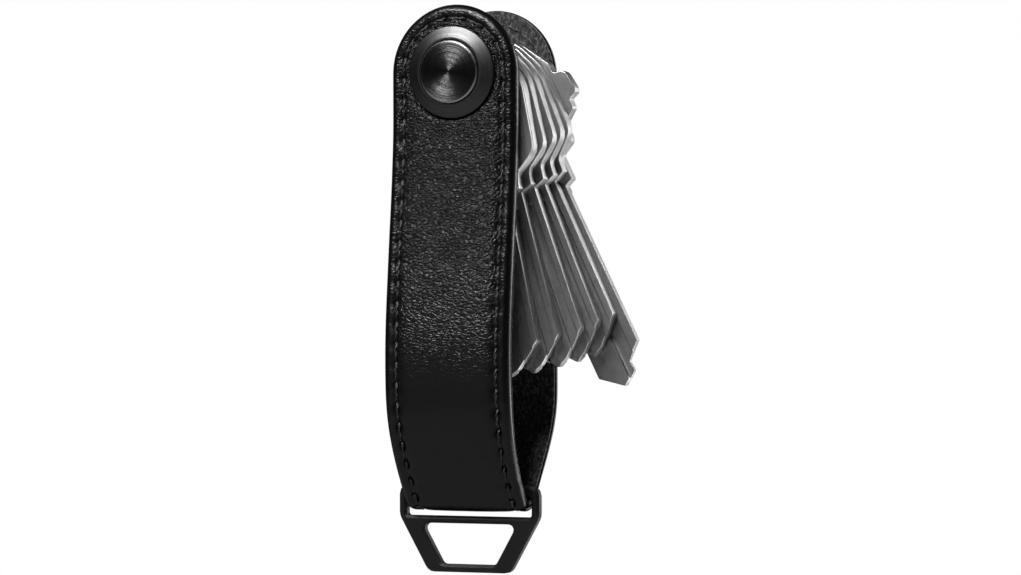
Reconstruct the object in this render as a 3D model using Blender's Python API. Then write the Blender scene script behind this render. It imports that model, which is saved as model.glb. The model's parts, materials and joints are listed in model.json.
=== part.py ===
"""Leather key organiser: a folded strap clamps a fan of keys on a button post, and a ring hangs in its fold.

Frame, in metres: +Z up, +X across the strap, +Y from the front leg of the strap to its back leg.
The origin is the centre of the button's flat front face, on the axis of the post.
Keys are drawn in their own plane: u to the right and v down from the post's axis.
"""
import math

import bmesh
import bpy
from mathutils import Vector

MM = 0.001

# Clearances
STACK_GAP = 0.06 * MM        # between pieces that are clamped face to face
RUNNING_GAP = 0.10 * MM      # radial, round the post and the screw
SLOT_GAP = 0.35 * MM         # between the strap's edge and the end of the ring's slot

# Strap: an outer leather and an inner lining, with padding between them inside the seam
STRAP_WIDTH = 20.4 * MM
LEATHER_THICKNESS = 0.9 * MM
LINING_THICKNESS = 0.5 * MM
PADDING_THICKNESS = 0.4 * MM
PADDING_AT_FOLD = 0.15       # share of its thickness that the padding keeps at the fold
PADDING_SHOULDER = 0.4 * MM  # how far in from its edge the padding reaches full thickness
MARGIN_DROP = 0.12 * MM      # how much the leather outside its seam slopes down to the edge
EDGE_ROUNDING = 0.45 * MM
LINING_SETBACK = 0.15 * MM   # the lining stops short of the leather's edge
SEAM_MARGIN = 2.1 * MM       # seam line to edge
SEAM_GROOVE_WIDTH = 0.8 * MM
SEAM_GROOVE_DEPTH = 0.45 * MM
THREAD_DIAMETER = 0.36 * MM
STRAP_HOLE_PLAY = 0.45 * MM  # radial, round the post

# Strap path, measured on the lining's inner face
WIDE_KEY_REACH = 52.3 * MM   # post axis to the tip of the longest key
FOLD_BELOW_TIP = 10.8 * MM   # longest key's tip to the centre of the fold
FOLD_SETBACK = 4.30 * MM     # front leg's inner face to the centre of the fold
FOLD_LEAN = math.radians(54.0)
FOLD_NARROWING = 0.30 * MM   # per side, where the strap is bent tightest
FOLD_NARROW_RUN = 14.0 * MM
FRONT_STRAIGHT = 7.0 * MM
FRONT_BULGE = 3.15 * MM
BULGE_ABOVE_FOLD = 20.6 * MM
BACK_CURVE_ABOVE_FOLD = 16.6 * MM
FRONT_FOLD_HANDLE = 9.0 * MM   # lengths of the curves' handles
BULGE_HANDLE = 9.0 * MM
BACK_FOLD_HANDLE = 12.0 * MM
BACK_HANDLE = 5.5 * MM

# Button: the post's disc head and the clamp screw's head sit in matching bezels
POST_RADIUS = 2.25 * MM
HEAD_RADIUS = 4.72 * MM
HEAD_THICKNESS = 1.25 * MM
HEAD_CHAMFER = 0.22 * MM
BEZEL_RADIUS = 6.9 * MM
BEZEL_THICKNESS = 1.45 * MM
BEZEL_SLOPE_DROP = 0.80 * MM
BEZEL_LIP_WIDTH = 0.30 * MM
HEAD_PROUD = 0.35 * MM       # how far a head stands out of its bezel
BEZEL_FOOT_CHAMFER = 0.15 * MM
SCREW_RADIUS = 1.5 * MM
SCREW_LENGTH = 6.0 * MM
SCREW_HOLE_SPARE = 0.8 * MM
COIN_SLOT_WIDTH = 1.3 * MM
COIN_SLOT_DEPTH = 0.7 * MM
POST_END_GAP = 0.25 * MM
WASHER_RADIUS = 6.0 * MM
WASHER_THICKNESS = 0.2 * MM

# Keys
KEY_THICKNESS = 1.97 * MM
THIN_KEY_THICKNESS = 0.5 * MM
KEY_REACH = 46.5 * MM
THIN_KEY_REACH = 33.0 * MM
BOW_HALF_WIDTH = 9.6 * MM
BLADE_HALF_WIDTH = 3.9 * MM
THIN_BLADE_HALF_WIDTH = 2.2 * MM
WIDE_BLADE_HALF_WIDTH = 4.1 * MM
GROOVE_START = 22.0 * MM     # post axis to where the blade's milling begins
GROOVE_DEPTH = 0.55 * MM
WIDE_BLADE_RELIEF = 0.60 * MM  # the wide key's blade is thinner than its bow by this much, at the back
KEY_SWINGS = (11.7, 15.5, 19.7, 22.6, 25.2)
THIN_KEY_SWING = 11.5
WIDE_KEY_SWING = 26.3

# Ring, measured from its hinge line at the middle of its top bar
RING_THICKNESS = 1.8 * MM
RING_CHAMFER = 0.4 * MM
RING_TOP_BAR = 2.0 * MM
RING_SIDE_BAR = 1.25 * MM
RING_SLOT_PLAY = 0.84 * MM    # below the fold, inside the slot
RING_MIDDLE_BAR = 1.1 * MM
RING_WINDOW_HEIGHT = 6.2 * MM
RING_BOTTOM_BAR = 1.2 * MM
RING_BAR_PLAY = 0.45 * MM    # between the top bar and the lining
RING_BOTTOM_HALF_WIDTH = 6.7 * MM
RING_LEG_WIDTH = 3.0 * MM    # of each slanted leg, measured along X

CUTTER_OVERRUN = 1.0 * MM
ROUND_SEGMENTS = 40
POST_SEGMENTS = 28
CORNER_SEGMENTS = 3
END_SEGMENTS = 14

STRAP_HOLE_RADIUS = POST_RADIUS + STRAP_HOLE_PLAY

# Places along Y, from the button's face backwards
HALF_WIDTH = STRAP_WIDTH / 2
EDGE_THICKNESS = LINING_THICKNESS + STACK_GAP + LEATHER_THICKNESS
STRAP_THICKNESS = EDGE_THICKNESS + STACK_GAP + PADDING_THICKNESS
FOLD_THICKNESS = EDGE_THICKNESS + (STACK_GAP + PADDING_THICKNESS) * PADDING_AT_FOLD
FRONT_OUTER_Y = HEAD_PROUD + BEZEL_THICKNESS + STACK_GAP
FRONT_INNER_Y = FRONT_OUTER_Y + STRAP_THICKNESS
FRONT_WASHER_Y = FRONT_INNER_Y + STACK_GAP
THIN_KEY_Y = FRONT_WASHER_Y + WASHER_THICKNESS + STACK_GAP
FIRST_KEY_Y = THIN_KEY_Y + THIN_KEY_THICKNESS + STACK_GAP
KEY_PITCH = KEY_THICKNESS + STACK_GAP
WIDE_KEY_Y = FIRST_KEY_Y + len(KEY_SWINGS) * KEY_PITCH
BACK_WASHER_Y = WIDE_KEY_Y + KEY_THICKNESS + STACK_GAP
BACK_INNER_Y = BACK_WASHER_Y + WASHER_THICKNESS + STACK_GAP
BACK_OUTER_Y = BACK_INNER_Y + STRAP_THICKNESS
BACK_FACE_Y = BACK_OUTER_Y + FRONT_OUTER_Y

# The fold and the ring in it
FOLD_RADIUS = RING_TOP_BAR / 2 + RING_BAR_PLAY
FOLD_DROP = WIDE_KEY_REACH + FOLD_BELOW_TIP
FOLD_Y = FRONT_INNER_Y + FOLD_SETBACK
FOLD_OUTER_RADIUS = FOLD_RADIUS + FOLD_THICKNESS


# ---------------------------------------------------------------- small helpers

def clear_scene():
    """Remove what the start-up file holds."""
    for thing in list(bpy.data.objects):
        bpy.data.objects.remove(thing, do_unlink=True)


def finish(name, colour, roughness, metallic):
    """One plain surface finish."""
    material = bpy.data.materials.new(name)
    material.use_nodes = True
    shader = material.node_tree.nodes["Principled BSDF"]
    shader.inputs["Base Color"].default_value = (*colour, 1.0)
    shader.inputs["Roughness"].default_value = roughness
    shader.inputs["Metallic"].default_value = metallic
    return material


def new_object(name, mesh, material, location=(0.0, 0.0, 0.0)):
    """Turn a closed bmesh into a named object."""
    bmesh.ops.recalc_face_normals(mesh, faces=mesh.faces)
    if mesh.calc_volume(signed=True) < 0:
        bmesh.ops.reverse_faces(mesh, faces=mesh.faces)
    data = bpy.data.meshes.new(name)
    mesh.to_mesh(data)
    mesh.free()
    data.shade_smooth()
    data.set_sharp_from_angle(angle=math.radians(30.0))
    data.materials.append(material)
    thing = bpy.data.objects.new(name, data)
    thing.location = location
    bpy.context.collection.objects.link(thing)
    return thing


def hide_cutter(cutter):
    """Mark an object as a cutter, which isn't part of the model."""
    cutter.hide_render = True
    cutter.display_type = "WIRE"


def cut(thing, cutter):
    """Take a cutter's shape out of an object."""
    modifier = thing.modifiers.new(cutter.name, "BOOLEAN")
    modifier.operation = "DIFFERENCE"
    modifier.solver = "EXACT"
    modifier.object = cutter


def bridge(mesh, first, second, closed=True):
    """Join two rows of vertices of the same length with faces."""
    count = len(first)
    for index in range(count if closed else count - 1):
        following = (index + 1) % count
        corners = []
        for vertex in (first[index], first[following], second[following], second[index]):
            if vertex not in corners:
                corners.append(vertex)
        mesh.faces.new(corners)


def rounded(corners, segments=CORNER_SEGMENTS):
    """A closed outline through (x, z, radius) corners, each rounded by an arc of its radius."""
    outline = []
    for index, (x, z, radius) in enumerate(corners):
        here = Vector((x, z))
        before = (Vector(corners[index - 1][:2]) - here).normalized()
        after = (Vector(corners[(index + 1) % len(corners)][:2]) - here).normalized()
        half_angle = before.angle(after) / 2
        if radius <= 0 or half_angle > math.radians(89.0):
            outline.append(here)
            continue
        centre = here + (before + after).normalized() * radius / math.sin(half_angle)
        start = here + before * radius / math.tan(half_angle) - centre
        end = here + after * radius / math.tan(half_angle) - centre
        first = math.atan2(start.y, start.x)
        sweep = math.remainder(math.atan2(end.y, end.x) - first, 2 * math.pi)
        for step in range(segments + 1):
            angle = first + sweep * step / segments
            outline.append(centre + radius * Vector((math.cos(angle), math.sin(angle))))
    return outline


def inset(outline, distance):
    """Move each point of a counter-clockwise outline to its left by a distance."""
    moved = []
    for index, here in enumerate(outline):
        arriving = (here - outline[index - 1]).normalized()
        leaving = (outline[(index + 1) % len(outline)] - here).normalized()
        left = Vector((-arriving.y, arriving.x)) + Vector((-leaving.y, leaving.x))
        moved.append(here + left * distance / (1 + arriving.dot(leaving)))
    return moved


def plate(name, outer, holes, thickness, chamfer, material, location):
    """A flat plate across Y, from counter-clockwise outlines in X and Z, with plain or chamfered rims."""
    mesh = bmesh.new()
    half = thickness / 2
    levels = [(-half, chamfer), (chamfer - half, 0.0), (half - chamfer, 0.0), (half, chamfer)]
    if chamfer == 0:
        levels = [(-half, 0.0), (half, 0.0)]
    rims = []
    for side, outline in [(1, outer)] + [(-1, hole) for hole in holes]:
        rings = []
        for y, step in levels:
            moved = inset(outline, side * step)
            rings.append([mesh.verts.new((point.x, y, point.y)) for point in moved])
        for lower, upper in zip(rings, rings[1:]):
            bridge(mesh, lower, upper)
        rims.append(rings)
    for level in (0, -1):
        edges = []
        for rings in rims:
            ring = rings[level]
            edges += [mesh.edges.get((ring[index - 1], ring[index])) for index in range(len(ring))]
        bmesh.ops.triangle_fill(mesh, edges=edges, use_beauty=True)
    return new_object(name, mesh, material, location)


def turned(name, profile, segments, material, hollow=False, y=0.0):
    """A piece turned round the Y axis from (radius, y) points: hollow right through, or with flat ends."""
    mesh = bmesh.new()
    rings = []
    for radius, along in profile:
        ring = []
        for index in range(segments):
            angle = 2 * math.pi * index / segments
            ring.append(mesh.verts.new((radius * math.cos(angle), along, radius * math.sin(angle))))
        rings.append(ring)
    for first, second in zip(rings, rings[1:]):
        bridge(mesh, first, second)
    if hollow:
        bridge(mesh, rings[-1], rings[0])
    else:
        mesh.faces.new(rings[0])
        mesh.faces.new(rings[-1])
    return new_object(name, mesh, material, (0.0, y, 0.0))


# ---------------------------------------------------------------- strap

def bezier(start, start_handle, end_handle, end, steps):
    """Points of one cubic curve, without its first point."""
    points = []
    for step in range(1, steps + 1):
        t = step / steps
        points.append((1 - t) ** 3 * start + 3 * (1 - t) ** 2 * t * start_handle
                      + 3 * (1 - t) * t ** 2 * end_handle + t ** 3 * end)
    return points


def strap_path():
    """Stations down the front leg, round the fold and up the back leg.

    Each is a (y, z) point on the lining's inner face, the normal out of the loop, a width factor and
    the share of its thickness that the padding has there.
    """
    down = Vector((0.0, -1.0))
    centre = Vector((FOLD_Y, -FOLD_DROP))
    front_lean = Vector((-math.sin(FOLD_LEAN), -math.cos(FOLD_LEAN)))
    back_lean = Vector((math.sin(FOLD_LEAN), -math.cos(FOLD_LEAN)))
    front_rise = Vector((-math.cos(FOLD_LEAN), math.sin(FOLD_LEAN)))
    back_rise = Vector((math.cos(FOLD_LEAN), math.sin(FOLD_LEAN)))
    pivot = Vector((FRONT_INNER_Y, 0.0))
    straight_end = pivot + down * FRONT_STRAIGHT
    bulge = Vector((FRONT_INNER_Y - FRONT_BULGE, BULGE_ABOVE_FOLD - FOLD_DROP))
    fold_start = centre + front_lean * FOLD_RADIUS
    fold_end = centre + back_lean * FOLD_RADIUS
    back_start = Vector((BACK_INNER_Y, BACK_CURVE_ABOVE_FOLD - FOLD_DROP))
    points = [pivot, straight_end]
    points += bezier(straight_end, straight_end + down * BULGE_HANDLE, bulge - down * BULGE_HANDLE, bulge, 7)
    points += bezier(bulge, bulge + down * BULGE_HANDLE, fold_start + front_rise * FRONT_FOLD_HANDLE,
                     fold_start, 8)
    fold_steps = 10
    for step in range(1, fold_steps):
        angle = FOLD_LEAN * (2 * step / fold_steps - 1)
        points.append(centre + Vector((math.sin(angle), -math.cos(angle))) * FOLD_RADIUS)
    points.append(fold_end)
    points += bezier(fold_end, fold_end + back_rise * BACK_FOLD_HANDLE, back_start + down * BACK_HANDLE,
                     back_start, 9)
    points.append(Vector((BACK_INNER_Y, -FRONT_STRAIGHT)))
    points.append(Vector((BACK_INNER_Y, 0.0)))
    return [station(points, index) for index in range(len(points))]


def station(points, index):
    """One point of the path with its outward normal, its width factor and its padding factor."""
    here = points[index]
    before = points[max(index - 1, 0)]
    after = points[min(index + 1, len(points) - 1)]
    if index in (0, len(points) - 1):
        along = Vector((0.0, -1.0)) if index == 0 else Vector((0.0, 1.0))
    else:
        along = ((here - before).normalized() + (after - here).normalized()).normalized()
    depth = min(max((FOLD_NARROW_RUN - FOLD_DROP - here.y) / FOLD_NARROW_RUN, 0.0), 1.0)
    near_fold = depth * depth * (3 - 2 * depth)
    narrowing = FOLD_NARROWING / HALF_WIDTH * near_fold
    return here, Vector((along.y, -along.x)), 1 - narrowing, 1 - (1 - PADDING_AT_FOLD) * near_fold


def on_strap(place, x, height, lift=0.0, puff=0.0):
    """A point of the strap: across it, above the lining's inner face, and up past its last station.

    The puff is what the padding adds to the height where it is at its full thickness.
    """
    here, normal, width_factor, padding_factor = place
    rise = height + puff * padding_factor
    return Vector((x * width_factor, here.x + normal.x * rise, here.y + normal.y * rise + lift))


def strap_layer(name, half_profile, material):
    """A closed strap from half of its cross-section, with both ends rounded about the post.

    The cross-section's points are (x, height, puff), from the middle of one face to that of the other.
    """
    mesh = bmesh.new()
    stations = strap_path()
    profile = half_profile + [(-x, height, puff) for x, height, puff in reversed(half_profile[1:-1])]
    rings = []
    for place in stations:
        rings.append([mesh.verts.new(on_strap(place, x, height, puff=puff)) for x, height, puff in profile])
    for first, second in zip(rings, rings[1:]):
        bridge(mesh, first, second)
    count = len(half_profile)
    for place, ring in ((stations[0], rings[0]), (stations[-1], rings[-1])):
        fan = [ring[:count]]
        for step in range(1, END_SEGMENTS):
            angle = math.pi * step / END_SEGMENTS
            row = [ring[0]]
            for x, height, puff in half_profile[1:-1]:
                point = on_strap(place, x * math.cos(angle), height, x * math.sin(angle), puff)
                row.append(mesh.verts.new(point))
            fan.append(row + [ring[count - 1]])
        fan.append([ring[0]] + ring[:count - 2:-1])
        for first, second in zip(fan, fan[1:]):
            bridge(mesh, first, second, closed=False)
    return new_object(name, mesh, material)


def padding_edge():
    """Half the width of the padding, which ends where the leather dips to its seam."""
    return HALF_WIDTH - SEAM_MARGIN - SEAM_GROOVE_WIDTH


def leather_profile():
    """Half cross-section of the leather: raised middle, seam groove, sloping margin and rounded edge."""
    inner = LINING_THICKNESS + STACK_GAP
    top = inner + LEATHER_THICKNESS
    margin = top - MARGIN_DROP
    seam = HALF_WIDTH - SEAM_MARGIN
    groove = top - SEAM_GROOVE_DEPTH
    half_groove = SEAM_GROOVE_WIDTH / 2
    flat = padding_edge()
    raised = PADDING_THICKNESS + STACK_GAP
    outer_edge = [(HALF_WIDTH - EDGE_ROUNDING, margin, 0.0),
                  (HALF_WIDTH - EDGE_ROUNDING / 4, margin - EDGE_ROUNDING / 2, 0.0),
                  (HALF_WIDTH, margin - EDGE_ROUNDING, 0.0), (HALF_WIDTH, inner + EDGE_ROUNDING / 2, 0.0),
                  (HALF_WIDTH - EDGE_ROUNDING / 4, inner, 0.0)]
    return [(0.0, top, raised), (flat, top, raised), (seam - half_groove, groove, 0.0),
            (seam + half_groove, groove, 0.0), (seam + SEAM_GROOVE_WIDTH, top, 0.0), *outer_edge,
            (flat, inner, 0.0), (flat - PADDING_SHOULDER, inner, raised), (0.0, inner, raised)]


def padding_profile():
    """Half cross-section of the padding, in the hollow between the lining and the raised leather."""
    foot = LINING_THICKNESS + STACK_GAP
    edge = padding_edge() - 2 * STACK_GAP
    top = edge - PADDING_SHOULDER
    upper = [(0.0, foot, PADDING_THICKNESS), (top, foot, PADDING_THICKNESS)]
    return upper + [(edge, foot, 0.0), (0.0, foot, 0.0)]


def lining_profile():
    """Half cross-section of the lining, a little narrower than the leather."""
    edge = HALF_WIDTH - LINING_SETBACK
    groove = LINING_THICKNESS / 2
    seam = HALF_WIDTH - SEAM_MARGIN
    half_groove = SEAM_GROOVE_WIDTH / 2
    return [(0.0, LINING_THICKNESS, 0.0), (edge, LINING_THICKNESS, 0.0), (edge, 0.0, 0.0),
            (seam + SEAM_GROOVE_WIDTH, 0.0, 0.0), (seam + half_groove, groove, 0.0),
            (seam - half_groove, groove, 0.0), (seam - SEAM_GROOVE_WIDTH, 0.0, 0.0), (0.0, 0.0, 0.0)]


def seam_thread(name, height, material):
    """One closed run of thread, parallel to the strap's edge all the way round."""
    mesh = bmesh.new()
    stations = strap_path()
    seam = HALF_WIDTH - SEAM_MARGIN
    radius = THREAD_DIAMETER / 2
    sides = 6
    rings = []

    def add_ring(place, angle, lift_sign):
        ring = []
        for side in range(sides):
            turn = 2 * math.pi * side / sides
            out = seam + radius * math.cos(turn)
            lift = lift_sign * out * abs(math.sin(angle))
            above = height + radius * math.sin(turn)
            ring.append(mesh.verts.new(on_strap(place, out * math.cos(angle), above, lift)))
        rings.append(ring)

    for place in stations:
        add_ring(place, 0.0, 0)
    for step in range(1, END_SEGMENTS):
        add_ring(stations[-1], math.pi * step / END_SEGMENTS, 1)
    for place in reversed(stations):
        add_ring(place, math.pi, 0)
    for step in range(1, END_SEGMENTS):
        add_ring(stations[0], math.pi * (1 - step / END_SEGMENTS), 1)
    for first, second in zip(rings, rings[1:] + rings[:1]):
        bridge(mesh, first, second)
    return new_object(name, mesh, material)


def make_strap():
    """The leather, the padding and the lining, their holes for the post, and the seam's two threads."""
    black = finish("black_leather", (0.012, 0.012, 0.013), 0.42, 0.0)
    suede = finish("black_suede", (0.008, 0.008, 0.008), 0.95, 0.0)
    foam = finish("grey_foam", (0.2, 0.2, 0.2), 0.9, 0.0)
    thread = finish("black_thread", (0.02, 0.02, 0.02), 0.6, 0.0)
    leather = strap_layer("strap_leather", leather_profile(), black)
    padding = strap_layer("strap_padding", padding_profile(), foam)
    lining = strap_layer("strap_lining", lining_profile(), suede)
    hole_ends = [(STRAP_HOLE_RADIUS, 0), (STRAP_HOLE_RADIUS, BACK_FACE_Y + CUTTER_OVERRUN)]
    hole = turned("strap_hole_cutter", hole_ends, POST_SEGMENTS, black)
    hide_cutter(hole)
    for layer in (leather, padding, lining):
        cut(layer, hole)
    groove_floor = EDGE_THICKNESS - SEAM_GROOVE_DEPTH
    seam_thread("outer_seam_thread", groove_floor + STACK_GAP + THREAD_DIAMETER / 2, thread)
    seam_thread("inner_seam_thread", LINING_THICKNESS / 2 - STACK_GAP - THREAD_DIAMETER / 2, thread)


# ---------------------------------------------------------------- button and post

def bezel_profile():
    """Cross-section of a bezel from its sloped face to its foot, y counted from the face of its head."""
    lip = HEAD_RADIUS + RUNNING_GAP
    foot = HEAD_PROUD + BEZEL_THICKNESS
    floor = HEAD_THICKNESS + STACK_GAP
    hole = POST_RADIUS + RUNNING_GAP
    slope = [(BEZEL_RADIUS, HEAD_PROUD + BEZEL_SLOPE_DROP), (lip + BEZEL_LIP_WIDTH, HEAD_PROUD)]
    recess = [(lip, HEAD_PROUD), (lip, floor), (hole, floor), (hole, foot)]
    rim = [(BEZEL_RADIUS - BEZEL_FOOT_CHAMFER, foot), (BEZEL_RADIUS, foot - BEZEL_FOOT_CHAMFER)]
    return slope + recess + rim


def make_button():
    """The post with its disc head, the clamp screw behind, and a bezel and a washer for each."""
    steel = finish("black_anodised", (0.02, 0.02, 0.022), 0.3, 1.0)
    nylon = finish("black_nylon", (0.03, 0.03, 0.03), 0.5, 0.0)
    face_edge = HEAD_RADIUS - HEAD_CHAMFER
    post_end = BACK_FACE_Y - HEAD_THICKNESS - POST_END_GAP
    hole_radius = SCREW_RADIUS + RUNNING_GAP
    screw_tip = BACK_FACE_Y - HEAD_THICKNESS - SCREW_LENGTH
    hole_end = screw_tip - SCREW_HOLE_SPARE
    turned("button_post", [(face_edge, 0), (HEAD_RADIUS, HEAD_CHAMFER), (HEAD_RADIUS, HEAD_THICKNESS),
                           (POST_RADIUS, HEAD_THICKNESS), (POST_RADIUS, post_end), (hole_radius, post_end),
                           (hole_radius, hole_end)], ROUND_SEGMENTS, steel)
    turned("front_bezel", bezel_profile(), ROUND_SEGMENTS, steel, hollow=True)
    back_profile = [(radius, -y) for radius, y in bezel_profile()]
    turned("back_bezel", back_profile, ROUND_SEGMENTS, steel, hollow=True, y=BACK_FACE_Y)
    screw_profile = [(face_edge, 0), (HEAD_RADIUS, -HEAD_CHAMFER), (HEAD_RADIUS, -HEAD_THICKNESS),
                     (SCREW_RADIUS, -HEAD_THICKNESS), (SCREW_RADIUS, screw_tip - BACK_FACE_Y)]
    screw = turned("clamp_screw", screw_profile, ROUND_SEGMENTS, steel, y=BACK_FACE_Y)
    slot_mesh = bmesh.new()
    bmesh.ops.create_cube(slot_mesh, size=1.0)
    slot_size = (2 * HEAD_RADIUS + CUTTER_OVERRUN, 2 * COIN_SLOT_DEPTH, COIN_SLOT_WIDTH)
    bmesh.ops.scale(slot_mesh, vec=slot_size, verts=slot_mesh.verts)
    slot = new_object("coin_slot_cutter", slot_mesh, steel, (0.0, BACK_FACE_Y, 0.0))
    hide_cutter(slot)
    cut(screw, slot)
    hole = POST_RADIUS + RUNNING_GAP
    washer = [(hole, 0), (WASHER_RADIUS, 0), (WASHER_RADIUS, WASHER_THICKNESS), (hole, WASHER_THICKNESS)]
    turned("front_washer", washer, POST_SEGMENTS, nylon, hollow=True, y=FRONT_WASHER_Y)
    turned("back_washer", washer, POST_SEGMENTS, nylon, hollow=True, y=BACK_WASHER_Y)


# ---------------------------------------------------------------- keys

def key_outline(right, tip):
    """A closed outline from the corners of the right side, the tip, and the right side mirrored."""
    left = [(-u, v, radius) for u, v, radius in reversed(right)]
    corners = [(u, -v, radius) for u, v, radius in right + tip + left]
    return rounded(list(reversed(corners)))


def round_bow(blade_half_width):
    """Right side of the plain round bow, its neck and the step to the blade."""
    return [(2.0 * MM, -4.35 * MM, 6.0 * MM), (BOW_HALF_WIDTH - 2.6 * MM, -2.3 * MM, 4.5 * MM),
            (BOW_HALF_WIDTH, 3.2 * MM, 7.0 * MM), (BOW_HALF_WIDTH - 0.1 * MM, 13.9 * MM, 3.0 * MM),
            (5.95 * MM, 16.9 * MM, 1.5 * MM), (5.75 * MM, 19.05 * MM, 0.25 * MM),
            (blade_half_width, 19.85 * MM, 0.25 * MM)]


def scalloped_bow(blade_half_width):
    """Right side of the wide key's bow, with three lobes above a square shoulder."""
    upper_lobe = [(2.0 * MM, -4.2 * MM, 6.0 * MM), (6.9 * MM, -2.2 * MM, 4.5 * MM)]
    side_lobe = [(9.9 * MM, 3.0 * MM, 0.8 * MM), (9.9 * MM, 4.6 * MM, 0.5 * MM),
                 (11.7 * MM, 4.9 * MM, 1.2 * MM), (12.2 * MM, 8.9 * MM, 1.0 * MM)]
    lower_lobe = [(10.5 * MM, 9.3 * MM, 0.4 * MM), (10.5 * MM, 10.8 * MM, 0.6 * MM),
                  (8.2 * MM, 12.4 * MM, 1.0 * MM), (8.0 * MM, 15.2 * MM, 1.0 * MM)]
    neck = [(5.5 * MM, 16.4 * MM, 0.6 * MM), (5.5 * MM, 20.4 * MM, 0.3 * MM)]
    return upper_lobe + side_lobe + lower_lobe + neck + [(blade_half_width, 20.9 * MM, 0.3 * MM)]


def plain_tip(reach, half_width):
    """A slanted tip whose point lies left of the middle."""
    return [(half_width, reach - 4.6 * MM, 0.4 * MM), (0.1 * MM, reach - 0.9 * MM, 0.4 * MM),
            (-1.8 * MM, reach, 0.4 * MM), (-half_width, reach - 2.3 * MM, 0.4 * MM)]


def notched_tip(reach, half_width):
    """The wide key's tip, with a step on its right and a long slant on its left."""
    return [(half_width, reach - 5.4 * MM, 0.3 * MM), (1.4 * MM, reach - 3.1 * MM, 0.4 * MM),
            (1.6 * MM, reach - 1.5 * MM, 0.4 * MM), (-0.7 * MM, reach, 0.3 * MM),
            (-half_width, reach - 2.8 * MM, 0.3 * MM)]


def groove_cutter(name, grooves, thickness, material):
    """Long boxes that mill the blade.

    Each groove is (centre u, width, depth, side), where side -1 is the front and +1 the back.
    """
    mesh = bmesh.new()
    end = WIDE_KEY_REACH + CUTTER_OVERRUN
    for centre, width, depth, side in grooves:
        made = bmesh.ops.create_cube(mesh, size=1.0)["verts"]
        bmesh.ops.scale(mesh, vec=(width, 2 * depth, end - GROOVE_START), verts=made)
        bmesh.ops.translate(mesh, vec=(centre, side * thickness / 2, -(GROOVE_START + end) / 2), verts=made)
    cutter = new_object(name, mesh, material)
    hide_cutter(cutter)
    return cutter


def make_key(name, outline, thickness, y, swing, bore, grooves, material):
    """One key, turning about the post: its origin is on the post's axis."""
    key = plate(name, outline, [bore], thickness, 0.0, material, (0.0, y + thickness / 2, 0.0))
    key.rotation_euler = (0.0, -math.radians(swing), 0.0)
    if grooves:
        cutter = groove_cutter(name + "_groove_cutter", grooves, thickness, material)
        cutter.parent = key
        cut(key, cutter)
    return key


def make_keys():
    """The thin key in front, five alike and the wide key at the back, each on the post."""
    steel = finish("nickel_steel", (0.55, 0.55, 0.55), 0.3, 1.0)
    radius = POST_RADIUS + RUNNING_GAP
    angles = [2 * math.pi * index / POST_SEGMENTS for index in range(POST_SEGMENTS)]
    bore = [Vector((radius * math.cos(angle), radius * math.sin(angle))) for angle in angles]
    thin = key_outline(round_bow(THIN_BLADE_HALF_WIDTH), plain_tip(THIN_KEY_REACH, THIN_BLADE_HALF_WIDTH))
    make_key("thin_key", thin, THIN_KEY_THICKNESS, THIN_KEY_Y, THIN_KEY_SWING, bore, [], steel)
    house = key_outline(round_bow(BLADE_HALF_WIDTH), plain_tip(KEY_REACH, BLADE_HALF_WIDTH))
    house_grooves = [(BLADE_HALF_WIDTH - 1.8 * MM, 1.5 * MM, GROOVE_DEPTH, -1),
                     (1.9 * MM - BLADE_HALF_WIDTH, 1.6 * MM, GROOVE_DEPTH, -1),
                     (0.2 * MM, 1.6 * MM, GROOVE_DEPTH, 1)]
    for index, swing in enumerate(KEY_SWINGS):
        y = FIRST_KEY_Y + index * KEY_PITCH
        make_key(f"house_key_{index + 1}", house, KEY_THICKNESS, y, swing, bore, house_grooves, steel)
    wide_tip = notched_tip(WIDE_KEY_REACH, WIDE_BLADE_HALF_WIDTH)
    wide = key_outline(scalloped_bow(WIDE_BLADE_HALF_WIDTH), wide_tip)
    wide_grooves = [(WIDE_BLADE_HALF_WIDTH - 2.6 * MM, 2.2 * MM, GROOVE_DEPTH, -1),
                    (0.0, 2 * WIDE_BLADE_HALF_WIDTH + CUTTER_OVERRUN, WIDE_BLADE_RELIEF, 1)]
    make_key("wide_key", wide, KEY_THICKNESS, WIDE_KEY_Y, WIDE_KEY_SWING, bore, wide_grooves, steel)


# ---------------------------------------------------------------- ring

def make_ring():
    """The flat ring: a slot that the strap's fold runs through, above a tapered window."""
    black = finish("black_steel", (0.015, 0.015, 0.016), 0.35, 1.0)
    top = RING_TOP_BAR / 2
    slot_top = -RING_TOP_BAR / 2
    slot_bottom = -(FOLD_OUTER_RADIUS + RING_SLOT_PLAY)
    window_top = slot_bottom - RING_MIDDLE_BAR
    window_bottom = window_top - RING_WINDOW_HEIGHT
    bottom = window_bottom - RING_BOTTOM_BAR
    slot_end = HALF_WIDTH - FOLD_NARROWING + SLOT_GAP
    side = slot_end + RING_SIDE_BAR
    taper = (side - RING_BOTTOM_HALF_WIDTH) / (slot_bottom - bottom)
    window_half = side - RING_LEG_WIDTH - taper * (slot_bottom - window_top)
    window_foot = window_half - taper * RING_WINDOW_HEIGHT

    def symmetric(right):
        return rounded(right + [(-x, z, radius) for x, z, radius in reversed(right)])

    outer = symmetric([(RING_BOTTOM_HALF_WIDTH, bottom, 1.6 * MM), (side, slot_bottom, 2.6 * MM),
                       (side, top, 1.6 * MM)])
    slot = symmetric([(slot_end, slot_bottom, 0.4 * MM), (slot_end, slot_top, 0.4 * MM)])
    window = symmetric([(window_foot, window_bottom, 0.8 * MM), (window_half, window_top, 0.8 * MM)])
    plate("d_ring", outer, [slot, window], RING_THICKNESS, RING_CHAMFER, black, (0.0, FOLD_Y, -FOLD_DROP))


clear_scene()
make_strap()
make_button()
make_keys()
make_ring()
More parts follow.
